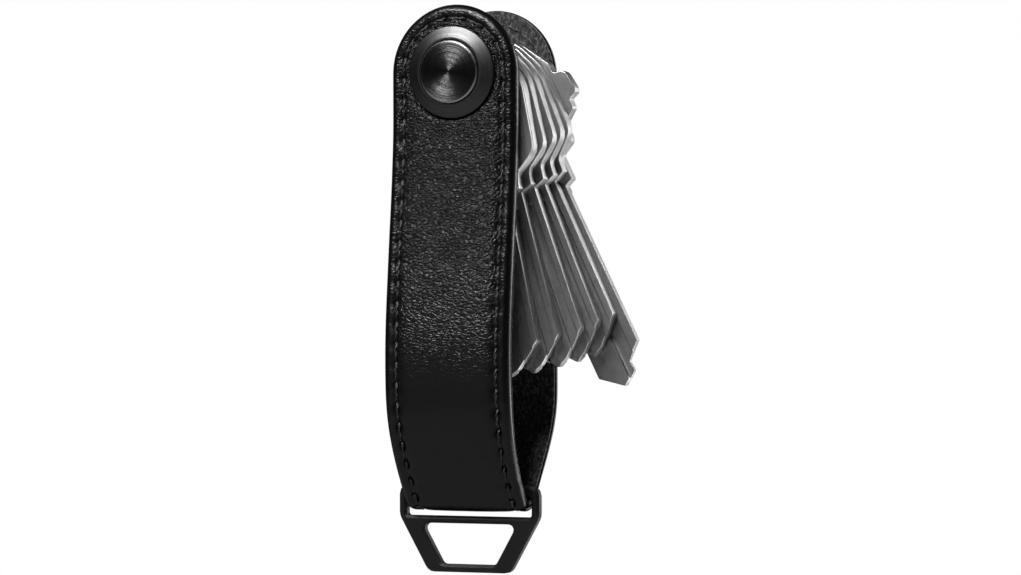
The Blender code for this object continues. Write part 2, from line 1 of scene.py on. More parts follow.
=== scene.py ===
"""Looks of the leather key organiser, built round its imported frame.

Frame, in metres: +Z up, +X across the strap, +Y from the front leg of the strap to its back leg.
The origin is the centre of the button's flat front face, on the axis of the post.
"""
import json
import math

import bmesh
import bpy
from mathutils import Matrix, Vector, noise


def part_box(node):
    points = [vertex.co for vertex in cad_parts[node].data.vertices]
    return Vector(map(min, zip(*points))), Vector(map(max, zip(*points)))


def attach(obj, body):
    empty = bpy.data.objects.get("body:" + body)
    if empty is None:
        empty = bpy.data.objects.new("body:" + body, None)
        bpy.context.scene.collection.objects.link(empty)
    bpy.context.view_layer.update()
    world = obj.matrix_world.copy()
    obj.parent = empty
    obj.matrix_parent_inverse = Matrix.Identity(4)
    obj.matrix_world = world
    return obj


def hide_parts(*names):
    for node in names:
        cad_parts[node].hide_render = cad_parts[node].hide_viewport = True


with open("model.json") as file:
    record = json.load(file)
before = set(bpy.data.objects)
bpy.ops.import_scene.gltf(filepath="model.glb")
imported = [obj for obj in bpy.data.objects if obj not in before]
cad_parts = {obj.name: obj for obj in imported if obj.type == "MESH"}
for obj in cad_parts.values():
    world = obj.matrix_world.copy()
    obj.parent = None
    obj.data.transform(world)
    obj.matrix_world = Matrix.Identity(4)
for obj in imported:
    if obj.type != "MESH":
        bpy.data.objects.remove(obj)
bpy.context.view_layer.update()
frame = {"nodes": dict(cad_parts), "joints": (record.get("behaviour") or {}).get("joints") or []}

MM = 0.001
STACK_GAP = 0.06 * MM
RUNNING_GAP = 0.10 * MM

# Strap path, on the lining's inner face: the same curves as the frame's strap
HALF_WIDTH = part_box("strap_leather")[1].x
FRONT_INNER_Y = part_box("front_washer")[0].y - STACK_GAP
BACK_INNER_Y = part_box("back_washer")[1].y + STACK_GAP
RING_JOINT = next(joint for joint in frame["joints"] if joint["name"] == "ring_swing")
FOLD_CENTRE = Vector(RING_JOINT["pos_m"][1:])
FOLD_RADIUS = 1.45 * MM
FOLD_LEAN = math.radians(54.0)
FOLD_STEPS = 24
FOLD_NARROWING = 0.30 * MM
FOLD_NARROW_RUN = 14.0 * MM
STRAIGHT_RUN = 7.0 * MM
FRONT_BULGE = 3.15 * MM
BULGE_ABOVE_FOLD = 20.6 * MM
BACK_CURVE_ABOVE_FOLD = 16.6 * MM
FRONT_FOLD_HANDLE = 9.0 * MM
BULGE_HANDLE = 9.0 * MM
BACK_FOLD_HANDLE = 12.0 * MM
BACK_HANDLE = 5.5 * MM
PATH_STEP = 0.33 * MM
PROFILE_STEP = 0.33 * MM
END_STEPS = 72
RIGHT = (1.0, 0.0)
LEFT = (-1.0, 0.0)

# Strap build-up; a height is measured from the lining's inner face, a puff is what full padding adds
LINING_THICKNESS = 0.5 * MM
LINING_SETBACK = 0.15 * MM
LEATHER_FOOT = 0.58 * MM
LEATHER_TOP = 1.60 * MM
OUTER_FACE_HEIGHT = 1.2 * MM
PADDING_PUFF = 0.92 * MM

# Seam, stitched with waxed thread
SEAM_MARGIN = 2.1 * MM
SEAM_HEIGHT = 1.7 * MM
GROOVE_HEIGHT = 1.26 * MM
GROOVE_PUFF = 0.46 * MM
INNER_SEAM_HEIGHT = 0.10 * MM
STITCH_PITCH = 3.1 * MM
STITCH_SHARE = 0.97
THREAD_DIAMETER = 0.42 * MM
HOLE_SIZE = 0.42 * MM
HOLE_DEPTH = 0.34 * MM
INNER_HOLE_DEPTH = 0.18 * MM
SWELL_HEIGHT = 0.13 * MM
SWELL_WIDTH = 0.9 * MM

# Creases near the fold, with their waves per metre along X, Z and Y, and unevenness everywhere
FACE_CREASE = 0.08 * MM
FACE_CREASE_REACH = 9.0 * MM
FACE_CREASE_WAVES = Vector((130.0, 900.0, 500.0))
LINING_CREASE = 0.07 * MM
LINING_CREASE_REACH = 10.0 * MM
LINING_CREASE_WAVES = Vector((160.0, 700.0, 700.0))
DEEPEST_CREASE_REACH = 1.0 * MM
LEATHER_SWELLS = 0.05 * MM
LEATHER_SWELL_WAVES = 150.0
LEATHER_DENTS = 0.02 * MM
LEATHER_DENT_WAVES = 420.0
LINING_DENTS = 0.015 * MM
LINING_DENT_WAVES = 500.0
SEAT_SLOPE = 0.75 * MM

# Button
POST_RADIUS = 2.25 * MM
STRAP_HOLE_RADIUS = POST_RADIUS + 0.45 * MM
STRAP_HOLE_SEGMENTS = 48
HEAD_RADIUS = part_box("button_post")[1].x
HEAD_THICKNESS = 1.25 * MM
HEAD_CHAMFER = 0.26 * MM
HEAD_CENTRE_RADIUS = 0.12 * MM
BEZEL_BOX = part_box("front_bezel")
BEZEL_RADIUS = BEZEL_BOX[1].x
BEZEL_SLOPE_DROP = 0.80 * MM
BEZEL_LIP_WIDTH = 0.30 * MM
BEZEL_EDGE = 0.15 * MM
BACK_FACE_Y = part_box("clamp_screw")[1].y
SCREW_RADIUS = 1.5 * MM
BORE_DEPTH = 6.0 * MM
COIN_SLOT_WIDTH = 1.3 * MM
COIN_SLOT_DEPTH = 0.7 * MM
TURNING_PITCH = 0.17 * MM
RIDGE_STEPS = 4
HEAD_MARKS = 0.015 * MM
BEZEL_MARKS = 0.005 * MM
TURNED_SEGMENTS = 144
TOOL_REACH = 3.0 * MM

# Keys swing about the post, in degrees from hanging straight down
KEY_SWINGS = {"thin_key": 11.5, "house_key_1": 11.7, "house_key_2": 15.5, "house_key_3": 19.7,
              "house_key_4": 22.6, "house_key_5": 25.2, "wide_key": 26.3}
THIN_KEY_EASING = 0.08 * MM
KEY_EASING = 0.16 * MM
RING_EASING = 0.14 * MM

# Studio
FLOOR_LEVEL = -0.25
FLOOR_HALF_WIDTH = 12.0
WHITE = (1.0, 1.0, 1.0, 1.0)
FLOOR_GREY = (0.22, 0.22, 0.22, 1.0)
WORLD_GREY = (0.05, 0.05, 0.05, 1.0)
BUTTON = Vector((0.0, 0.0, 0.0))
STRAP_MIDDLE = Vector((0.0, 0.0, -0.03))
STRAP_FOOT = Vector((0.0, 0.0, -0.05))
VIEW_AZIMUTH = math.radians(22.83)
VIEW_ELEVATION = math.radians(0.07)
VIEW_ROLL = math.radians(-0.13)
VIEW_TARGET = Vector((5.611, 10.61, -32.31)) * MM
VIEW_DISTANCE = 0.6
LENS_MM = 139.7
SENSOR_WIDTH_MM = 36.0


# ---------------------------------------------------------------- node writing

class Value:
    """An output of a node, with arithmetic that adds Math nodes."""

    def __init__(self, tree, socket):
        self.tree = tree
        self.socket = socket

    def math(self, operation, first, second=None):
        return self.tree.add("ShaderNodeMath", {"operation": operation}, [first, second])["Value"]

    def __add__(self, other):
        return self.math("ADD", self, other)

    def __sub__(self, other):
        return self.math("SUBTRACT", self, other)

    def __rsub__(self, other):
        return self.math("SUBTRACT", other, self)

    def __mul__(self, other):
        return self.math("MULTIPLY", self, other)

    __radd__ = __add__
    __rmul__ = __mul__

    def root(self):
        return self.math("SQRT", self)


class Tree:
    """A node tree, written by adding nodes."""

    def __init__(self, node_tree):
        self.nodes = node_tree.nodes
        self.links = node_tree.links

    def add(self, kind, settings=None, inputs=None):
        """Add a node and give its outputs by name; inputs are a list in socket order, or a table of names."""
        node = self.nodes.new(kind)
        for name, value in (settings or {}).items():
            setattr(node, name, value)
        sockets = [socket for socket in node.inputs if socket.enabled]
        if isinstance(inputs, dict):
            by_name = {socket.name: socket for socket in sockets}
            pairs = [(by_name[name], value) for name, value in inputs.items()]
        else:
            pairs = list(zip(sockets, inputs or []))
        for socket, value in pairs:
            self.set(socket, value)
        return {socket.name: Value(self, socket) for socket in node.outputs if socket.enabled}

    def set(self, socket, value):
        """Link a socket to a value, or give it a constant."""
        if isinstance(value, Value):
            self.links.new(value.socket, socket)
        elif value is not None:
            socket.default_value = value

    def vectors(self, operation, first, second):
        return self.add("ShaderNodeVectorMath", {"operation": operation}, [first, second])["Vector"]

    def parts(self, vector):
        """The X, Y and Z of a vector."""
        return self.add("ShaderNodeSeparateXYZ", None, [vector])

    def noise(self, vector, scale, detail=3.0, roughness=0.5):
        return self.add("ShaderNodeTexNoise", None, {"Vector": vector, "Scale": scale, "Detail": detail,
                                                     "Roughness": roughness})["Fac"]

    def ramp(self, value, low, high, from_value=0.0, to_value=1.0):
        """A smooth step of a value between two limits."""
        return self.add("ShaderNodeMapRange", {"interpolation_type": "SMOOTHSTEP"},
                        {"Value": value, "From Min": low, "From Max": high, "To Min": from_value,
                         "To Max": to_value})["Result"]

    def colour(self, factor, first, second):
        """A mix of two colours."""
        first, second = [tone if isinstance(tone, Value) else (*tone, 1.0) for tone in (first, second)]
        return self.add("ShaderNodeMix", {"data_type": "RGBA"},
                        {"Factor": factor, "A": first, "B": second})["Result"]

    def for_the_camera(self, unseen, seen):
        """A shader that the camera sees and another that lights the organiser."""
        from_camera = self.add("ShaderNodeLightPath")["Is Camera Ray"]
        return self.add("ShaderNodeMixShader", None, [from_camera, unseen, seen])["Shader"]


class Surface(Tree):
    """A material with one Principled shader."""

    def __init__(self, name, **constants):
        self.material = bpy.data.materials.new(name)
        self.material.use_nodes = True
        super().__init__(self.material.node_tree)
        self.shader = self.nodes["Principled BSDF"]
        for socket, value in constants.items():
            self.feed(socket.replace("_", " "), value)

    def feed(self, name, value):
        self.set(self.shader.inputs[name], value)

    def place(self, scale=(1.0, 1.0, 1.0), turn=(0.0, 0.0, 0.0)):
        """Object coordinates, turned and then scaled."""
        coordinates = self.add("ShaderNodeTexCoord")["Object"]
        turned = self.add("ShaderNodeMapping", None, {"Vector": coordinates, "Rotation": turn})["Vector"]
        return self.vectors("MULTIPLY", turned, scale)

    def attribute(self, name):
        return self.add("ShaderNodeAttribute", {"attribute_name": name})["Fac"]

    def bump(self, height, distance, strength=1.0):
        self.feed("Normal", self.add("ShaderNodeBump", None, {"Height": height, "Distance": distance,
                                                              "Strength": strength})["Normal"])


def grey(level):
    return (level, level, level)


# ---------------------------------------------------------------- finishes

def grained_leather():
    """Black leather: a creased grain in the middle, smoother at the fold and on its margins."""
    surface = Surface("black_grained_leather", Specular_IOR_Level=0.5)
    place = surface.place()
    wander = surface.add("ShaderNodeTexNoise", None,
                         {"Vector": place, "Scale": 1100.0, "Detail": 2.0})["Color"]
    warped = surface.vectors("ADD", place, surface.vectors("MULTIPLY", wander, grey(0.0006)))
    stretched = surface.vectors("MULTIPLY", warped, (0.62, 0.62, 1.0))

    def creases(scale, width):
        edges = surface.add("ShaderNodeTexVoronoi", {"feature": "DISTANCE_TO_EDGE"},
                            {"Vector": stretched, "Scale": scale})["Distance"]
        return surface.ramp(edges, 0.0, width)

    coarse = creases(scale=1950.0, width=0.27)
    fine = creases(scale=3900.0, width=0.24)
    wide = surface.noise(stretched, 700.0, 2.0)
    pores = surface.noise(place, 7000.0, 2.0, 0.6)
    height = surface.parts(place)["Z"]
    slack = surface.ramp(height, -0.054, -0.014)
    inset = surface.attribute("inset")
    middle = surface.ramp(inset, 1.6, 2.8)
    rim = surface.ramp(inset, 0.5, 1.4)
    grain = slack * (middle * 0.65 + 0.35) * (rim * 0.8 + 0.2)
    patches = surface.ramp(surface.noise(place, 260.0), 0.35, 0.65)
    relief = (coarse * (patches * 0.3 + 0.7) + fine * 0.14 + wide * 0.9) * grain + pores * 0.06
    surface.bump(relief, 0.00021)
    matt = surface.ramp(height, -0.062, -0.046) * (rim * 0.7 + 0.3)
    surface.feed("Roughness", 0.24 + matt * 0.13 + pores * 0.05)
    # Painted shade: the base colour is darker in the crease grooves; where the grain fades, at the fold and
    # the margins, it takes the same darker colour
    tone = surface.colour(coarse * fine * grain, (0.0012, 0.0012, 0.0013), (0.0028, 0.0028, 0.0029))
    dye = surface.ramp(surface.noise(place, 60.0, 2.0), 0.3, 0.7)
    surface.feed("Base Color", surface.colour(dye, tone, (0.0018, 0.0018, 0.0019)))
    return surface.material


def suede():
    """Black suede: a fibrous nap with paler fibre ends."""
    surface = Surface("black_suede_lining", Sheen_Weight=0.25, Sheen_Roughness=0.5, Specular_IOR_Level=0.25)
    nap = surface.noise(surface.place((1.0, 1.0, 0.6)), 2100.0, 4.0, 0.75)
    blotch = surface.noise(surface.place(), 420.0, 3.0, 0.6)
    fibres = surface.ramp(nap, 0.42, 0.72)
    surface.bump(nap + blotch * 0.6, 0.00030)
    surface.feed("Roughness", 0.92 - fibres * 0.1)
    base = surface.colour(blotch, grey(0.004), grey(0.016))
    surface.feed("Base Color", surface.colour(fibres, base, grey(0.15)))
    return surface.material


def waxed_thread():
    """Black thread, waxed, with paler fibres where it turns."""
    surface = Surface("black_waxed_thread", Specular_IOR_Level=0.6)
    fibres = surface.noise(surface.place(), 5200.0, 3.0, 0.7)
    surface.bump(fibres, 0.00006, 0.8)
    surface.feed("Roughness", fibres * 0.3 + 0.3)
    surface.feed("Base Color", surface.colour(surface.ramp(fibres, 0.45, 0.75), grey(0.008), grey(0.13)))
    return surface.material


def foam():
    """Grey open-cell foam, which the leather hides."""
    surface = Surface("grey_foam", Roughness=0.95)
    cells = surface.add("ShaderNodeTexVoronoi", None,
                        {"Vector": surface.place(), "Scale": 2500.0})["Distance"]
    surface.bump(cells, 0.0002, 0.7)
    surface.feed("Base Color", surface.colour(cells, grey(0.1), grey(0.25)))
    return surface.material


def black_anodised(name, roughness, depth):
    """Turned aluminium, anodised black, with faint concentric tool marks."""
    surface = Surface(name, Metallic=1.0)
    place = surface.parts(surface.place())
    radius = (place["X"] * place["X"] + place["Z"] * place["Z"]).root()
    marks = surface.add("ShaderNodeTexNoise", {"noise_dimensions": "1D"},
                        {"W": radius, "Scale": 9000.0, "Detail": 3.0})["Fac"]
    wear = surface.noise(surface.place(), 900.0)
    surface.bump(marks, 0.00002)
    surface.feed("Roughness", marks * 0.10 + wear * 0.06 + roughness)
    surface.feed("Base Color", surface.colour(marks, grey(0.055 * depth), grey(0.14 * depth)))
    return surface.material


def bright_cut():
    """Bare aluminium where a chamfer is cut through the anodising."""
    surface = Surface("bright_cut_aluminium", Metallic=1.0)
    scuffs = surface.noise(surface.place(), 2600.0)
    surface.bump(scuffs, 0.00001, 0.4)
    surface.feed("Roughness", scuffs * 0.15 + 0.22)
    surface.feed("Base Color", surface.colour(scuffs, (0.42, 0.42, 0.43), (0.62, 0.62, 0.63)))
    return surface.material


def black_nylon():
    """Matt black nylon of the washers."""
    surface = Surface("black_nylon")
    speckle = surface.noise(surface.place(), 2400.0)
    surface.bump(speckle, 0.00003, 0.5)
    surface.feed("Roughness", speckle * 0.2 + 0.42)
    surface.feed("Base Color", surface.colour(speckle, grey(0.02), grey(0.035)))
    return surface.material


def satin_black_steel():
    """Satin black coating on the ring, a little glossier where it is rubbed."""
    surface = Surface("satin_black_coating", Metallic=0.35, Specular_IOR_Level=0.55, Coat_Weight=0.15,
                      Coat_Roughness=0.3)
    orange_peel = surface.noise(surface.place(), 1500.0, 2.0)
    rubbed = surface.ramp(surface.noise(surface.place(), 160.0), 0.4, 0.7)
    surface.bump(orange_peel, 0.00003, 0.35)
    surface.feed("Roughness", 0.40 - rubbed * 0.08 + orange_peel * 0.05)
    surface.feed("Base Color", surface.colour(rubbed, (0.010, 0.010, 0.0105), (0.016, 0.016, 0.0165)))
    return surface.material


def brushed_nickel(name, swing):
    """Nickel-plated key steel, brushed along the blade, with handling marks."""
    turn = (0.0, math.radians(swing), 0.0)
    surface = Surface(name, Metallic=1.0)
    strokes = surface.noise(surface.place((1.0, 1.0, 0.03), turn), 5200.0, 3.0, 0.6)
    smudges = surface.noise(surface.place((1.0, 1.0, 0.5), turn), 330.0, 4.0, 0.65)
    spots = surface.ramp(surface.noise(surface.place(turn=turn), 1300.0, 3.0, 0.7), 0.52, 0.78)
    surface.bump(strokes + spots * 0.4, 0.00002, 0.55)
    surface.feed("Roughness", strokes * 0.12 + smudges * 0.22 + 0.22)
    clean = surface.colour(strokes, (0.48, 0.48, 0.49), (0.74, 0.74, 0.745))
    stained = surface.colour(surface.ramp(smudges, 0.35, 0.7), clean, (0.40, 0.398, 0.395))
    surface.feed("Base Color", surface.colour(spots * 0.5, stained, (0.28, 0.275, 0.27)))
    return surface.material


# ---------------------------------------------------------------- mesh helpers

def finished(name, mesh, material, smooth_angle=35.0):
    """Turn a closed bmesh into a piece with its normals facing out."""
    bmesh.ops.recalc_face_normals(mesh, faces=mesh.faces)
    if mesh.calc_volume(signed=True) < 0:
        bmesh.ops.reverse_faces(mesh, faces=mesh.faces)
    data = bpy.data.meshes.new(name)
    mesh.to_mesh(data)
    mesh.free()
    data.shade_smooth()
    data.set_sharp_from_angle(angle=math.radians(smooth_angle))
    data.materials.append(material)
    piece = bpy.data.objects.new(name, data)
    bpy.context.collection.objects.link(piece)
    return piece


def baked(piece):
    """Apply a piece's modifiers."""
    graph = bpy.context.evaluated_depsgraph_get()
    data = bpy.data.meshes.new_from_object(piece.evaluated_get(graph))
    piece.modifiers.clear()
    piece.data = data
    return piece


def cut_away(piece, tool):
    """Cut a tool's shape out of a piece and remove the tool."""
    modifier = piece.modifiers.new("cut", "BOOLEAN")
    modifier.operation = "DIFFERENCE"
    modifier.solver = "EXACT"
    modifier.object = tool
    baked(piece)
    bpy.data.objects.remove(tool)


def bridge(mesh, first, second, closed=True):
    """Join two rows of vertices of the same length with faces."""
    count = len(first)
    for index in range(count if closed else count - 1):
        following = (index + 1) % count
        corners = []
        for vertex in (first[index], first[following], second[following], second[index]):
            if vertex not in corners:
                corners.append(vertex)
        mesh.faces.new(corners)


def circle(mesh, radius, y, segments):
    """A ring of vertices round the post's axis."""
    angles = [2 * math.pi * index / segments for index in range(segments)]
    return [mesh.verts.new((radius * math.cos(angle), y, radius * math.sin(angle))) for angle in angles]


def smoothstep(low, high, value):
    t = min(max((value - low) / (high - low), 0.0), 1.0)
    return t * t * (3 - 2 * t)


def spline_through(points, step):
    """A smooth run through points of any size, with its first two numbers at most a step apart."""
    run = [points[0]]
    for index in range(len(points) - 1):
        before = points[max(index - 1, 0)]
        start, end = points[index], points[index + 1]
        after = points[min(index + 2, len(points) - 1)]
        count = max(1, math.ceil(math.dist(start[:2], end[:2]) / step))
        for number in range(1, count + 1):
            t = number / count
            run.append(tuple(0.5 * (2 * b + (c - a) * t + (2 * a - 5 * b + 4 * c - d) * t * t
                                    + (3 * b - a - 3 * c + d) * t ** 3)
                             for a, b, c, d in zip(before, start, end, after)))
    return run


# ---------------------------------------------------------------- strap

class Place:
    """One station of the strap: a (y, z) point, its normal, and how wide and how padded it is there."""

    def __init__(self, point, normal):
        self.point = point
        self.normal = normal
        near_fold = smoothstep(FOLD_CENTRE.y + FOLD_NARROW_RUN, FOLD_CENTRE.y, point.y)
        self.width = 1 - FOLD_NARROWING / HALF_WIDTH * near_fold
        self.padding = 1 - near_fold
        self.run = 0.0

    def at(self, x, height, lift=0.0):
        return Vector((x * self.width, self.point.x + self.normal.x * height,
                       self.point.y + self.normal.y * height + lift))

    def fold_nearness(self, reach):
        """From 0 to 1, how close the station is to the fold."""
        away = abs((self.point - FOLD_CENTRE).length - FOLD_RADIUS)
        return smoothstep(reach, DEEPEST_CREASE_REACH, away)


def even_steps(length):
    return max(2, math.ceil(length / PATH_STEP))


def line(start, end):
    count = even_steps((end - start).length)
    return [start.lerp(end, step / count) for step in range(1, count + 1)]


def curve(start, start_handle, end_handle, end):
    """Points of one cubic curve, without its first point."""
    curve_excess = 1.04
    count = even_steps((end - start).length * curve_excess)
    points = []
    for step in range(1, count + 1):
        t = step / count
        points.append((1 - t) ** 3 * start + 3 * (1 - t) ** 2 * t * start_handle
                      + 3 * (1 - t) * t ** 2 * end_handle + t ** 3 * end)
    return points


def strap_path():
    """Points (y, z) down the front leg, round the fold and up the back leg."""
    down = Vector((0.0, -1.0))
    lean_y, lean_z = math.sin(FOLD_LEAN), math.cos(FOLD_LEAN)
    front_top = Vector((FRONT_INNER_Y, 0.0))
    front_end = front_top + down * STRAIGHT_RUN
    bulge = Vector((FRONT_INNER_Y - FRONT_BULGE, BULGE_ABOVE_FOLD + FOLD_CENTRE.y))
    fold_start = FOLD_CENTRE + Vector((-lean_y, -lean_z)) * FOLD_RADIUS
    fold_end = FOLD_CENTRE + Vector((lean_y, -lean_z)) * FOLD_RADIUS
    back_start = Vector((BACK_INNER_Y, BACK_CURVE_ABOVE_FOLD + FOLD_CENTRE.y))
    path = [front_top, *line(front_top, front_end)]
    path += curve(front_end, front_end + down * BULGE_HANDLE, bulge - down * BULGE_HANDLE, bulge)
    path += curve(bulge, bulge + down * BULGE_HANDLE,
                  fold_start + Vector((-lean_z, lean_y)) * FRONT_FOLD_HANDLE, fold_start)
    for step in range(1, FOLD_STEPS + 1):
        angle = FOLD_LEAN * (2 * step / FOLD_STEPS - 1)
        path.append(FOLD_CENTRE + Vector((math.sin(angle), -math.cos(angle))) * FOLD_RADIUS)
    path += curve(fold_end, fold_end + Vector((lean_z, lean_y)) * BACK_FOLD_HANDLE,
                  back_start + down * BACK_HANDLE, back_start)
    path += line(back_start, Vector((BACK_INNER_Y, 0.0)))
    return path


def strap_places():
    """Stations along the strap's path, with the seam's length so far; both ends stand upright."""
    path = strap_path()
    down = Vector((0.0, -1.0))
    ways = [down, *((after - before).normalized() for before, after in zip(path, path[2:])), -down]
    places = [Place(point, Vector((way.y, -way.x))) for point, way in zip(path, ways)]
    seam = HALF_WIDTH - SEAM_MARGIN
    for before, place in zip(places, places[1:]):
        reach = place.at(seam, SEAM_HEIGHT) - before.at(seam, SEAM_HEIGHT)
        place.run = before.run + reach.length
    return places


# The seam runs down one side, round the back leg's end, up the other side and round the front leg's end
PLACES = strap_places()
SEAM_SIDE = PLACES[-1].run
SEAM_ARC = math.pi * (HALF_WIDTH - SEAM_MARGIN)
SEAM_LENGTH = 2 * (SEAM_SIDE + SEAM_ARC)
STITCH_COUNT = round(SEAM_LENGTH / STITCH_PITCH)


def end_ways():
    """Directions round a leg's round end, from its right side to its left, without these two."""
    angles = [math.pi * step / END_STEPS for step in range(1, END_STEPS)]
    return [(math.cos(angle), math.sin(angle)) for angle in angles]


def stitch_phase(run):
    """How far a point of the seam is between two stitch holes: 0 and 1 are middles, 0.5 is a hole."""
    return (run * STITCH_COUNT / SEAM_LENGTH) % 1.0


def hole_nearness(run, inset):
    """From 0 to 1, how close a point of the strap is to a stitch hole."""
    along = (stitch_phase(run) - 0.5) * SEAM_LENGTH / STITCH_COUNT
    across = inset - SEAM_MARGIN
    return math.exp(-(along * along + across * across) / (HOLE_SIZE * HOLE_SIZE))


def strap_layer(name, profile, material, relief=None):
    """A strap layer from half of its closed cross-section, with the post's hole through both legs.

    The cross-section's points are (inset from the edge, height, puff).
    """
    mesh = bmesh.new()
    inset_layer = mesh.verts.layers.float.new("inset")

    def row(points, place, run, way):
        """Vertices of cross-section points at one station, which look one way from the strap's middle."""
        vertices = []
        for inset, height, puff in points:
            x = (HALF_WIDTH - inset) * way[0]
            lift = (HALF_WIDTH - inset) * way[1]
            rise = height + puff * place.padding
            if relief:
                rise += relief(place, x, lift, inset, rise, run)
            vertex = mesh.verts.new(place.at(x, rise, lift))
            vertex[inset_layer] = inset / MM
            vertices.append(vertex)
        return vertices

    rings = []
    for place in PLACES:
        right = row(profile, place, place.run, RIGHT)
        left = row(profile[-2:0:-1], place, SEAM_LENGTH - SEAM_ARC - place.run, LEFT)
        rings.append(right + left)
    for first, second in zip(rings, rings[1:]):
        bridge(mesh, first, second)
    count = len(profile)
    for place, ring, start_run, sense in ((PLACES[0], rings[0], SEAM_LENGTH, -1),
                                          (PLACES[-1], rings[-1], SEAM_SIDE, 1)):
        fan = [ring[:count]]
        for step, way in enumerate(end_ways(), 1):
            run = start_run + sense * SEAM_ARC * step / END_STEPS
            fan.append([ring[0], *row(profile[1:-1], place, run, way), ring[count - 1]])
        fan.append([ring[0]] + ring[:count - 2:-1])
        for first, second in zip(fan, fan[1:]):
            bridge(mesh, first, second, closed=False)
    piece = finished(name, mesh, material, smooth_angle=60.0)
    cut_away(piece, post_drill(material))
    return piece


def post_drill(material):
    """The drill that goes through both legs of the strap."""
    mesh = bmesh.new()
    rings = [circle(mesh, STRAP_HOLE_RADIUS, y, STRAP_HOLE_SEGMENTS)
             for y in (-TOOL_REACH, BACK_FACE_Y + TOOL_REACH)]
    bridge(mesh, *rings)
    for ring in rings:
        mesh.faces.new(ring)
    return finished("drill", mesh, material)


def seat_height(place, x, lift, rise):
    """Lower the leather into the round seat that the bezel has pressed in it."""
    radius = math.hypot(x, place.point.y + lift)
    seat = FRONT_INNER_Y - BEZEL_BOX[1].y - STACK_GAP
    share = smoothstep(BEZEL_RADIUS, BEZEL_RADIUS + SEAT_SLOPE, radius)
    return min(rise, seat + (rise - seat) * share)


def leather_relief(place, x, lift, inset, rise, run):
    """Puckers at the stitches, the bezel's seat, creases by the fold and a slight unevenness."""
    point = place.at(x, rise, lift)
    pucker = -HOLE_DEPTH * hole_nearness(run, inset)
    beside_seam = math.exp(-((inset - SEAM_MARGIN) / SWELL_WIDTH) ** 2)
    swell = math.cos(2 * math.pi * stitch_phase(run)) * SWELL_HEIGHT * beside_seam
    uneven = (noise.noise(point * LEATHER_SWELL_WAVES) * LEATHER_SWELLS
              + noise.noise(point * LEATHER_DENT_WAVES) * LEATHER_DENTS)
    shaped = rise + pucker + swell + uneven
    if rise > OUTER_FACE_HEIGHT:
        waves = noise.noise(point.xzy * FACE_CREASE_WAVES)
        shaped += waves * FACE_CREASE * place.fold_nearness(FACE_CREASE_REACH)
        shaped = seat_height(place, x, lift, shaped)
    return shaped - rise


def lining_relief(place, x, lift, inset, rise, run):
    """Puckers at the stitches and the creases inside the fold."""
    if rise > LINING_THICKNESS / 2:
        return 0.0
    point = place.at(x, rise, lift)
    waves = noise.noise(point.xzy * LINING_CREASE_WAVES)
    crease = waves * LINING_CREASE * place.fold_nearness(LINING_CREASE_REACH)
    uneven = noise.noise(point * LINING_DENT_WAVES) * LINING_DENTS
    return INNER_HOLE_DEPTH * hole_nearness(run, inset) + crease + uneven


def in_metres(points):
    return [tuple(value * MM for value in point) for point in points]


def leather_profile():
    """Half cross-section of the leather, from the raised middle round the edge to the hollow inside."""
    top = LEATHER_TOP / MM
    middle = HALF_WIDTH / MM
    crown = [(middle, top, 1.14), (7.5, top, 1.13), (5.2, top, 1.08), (3.9, top, 0.98), (3.1, 1.56, 0.82),
             (2.6, 1.46, 0.60)]
    groove = [(SEAM_MARGIN / MM, GROOVE_HEIGHT / MM, GROOVE_PUFF / MM)]
    margin = [(1.75, 1.42, 0.52), (1.4, 1.54, 0.57), (1.0, 1.56, 0.58), (0.65, 1.46, 0.54)]
    edge = [(0.35, 1.28, 0.46), (0.12, 1.04, 0.34), (0.0, 0.82, 0.2), (0.04, 0.68, 0.08),
            (0.22, LEATHER_FOOT / MM, 0.0)]
    hollow = [(inset, LEATHER_FOOT / MM, puff)
              for inset, puff in ((3.1, 0.0), (3.6, 0.9), (6.5, 1.0), (middle, 1.0))]
    return spline_through(in_metres(crown + groove + margin + edge), PROFILE_STEP) + in_metres(hollow)


def padding_profile():
    """Half cross-section of the padding, in the hollow between the lining and the raised leather."""
    top = LINING_THICKNESS + STACK_GAP
    foot = top - STACK_GAP / 2
    edge = 3.4 * MM
    return [(HALF_WIDTH, top, PADDING_PUFF), (6.5 * MM, top, PADDING_PUFF), (3.9 * MM, top, 0.8 * MM),
            (edge, top, 0.1 * MM), (edge, foot, 0.0), (HALF_WIDTH, foot, 0.0)]


def lining_profile():
    """Half cross-section of the lining."""
    edge = LINING_SETBACK
    rounding = 0.1 * MM
    outer = [(HALF_WIDTH, LINING_THICKNESS, 0.0), (edge + rounding, LINING_THICKNESS, 0.0),
             (edge, LINING_THICKNESS * 0.7, 0.0), (edge, LINING_THICKNESS * 0.3, 0.0)]
    groove = in_metres([(1.0, 0.0, 0.0), (1.7, 0.03, 0.0), (SEAM_MARGIN / MM, 0.13, 0.0),
                        (2.5, 0.03, 0.0), (3.4, 0.0, 0.0)])
    inner = [(edge + rounding, 0.0, 0.0), *groove, (HALF_WIDTH, 0.0, 0.0)]
    return outer + spline_through(inner, 2 * PROFILE_STEP)


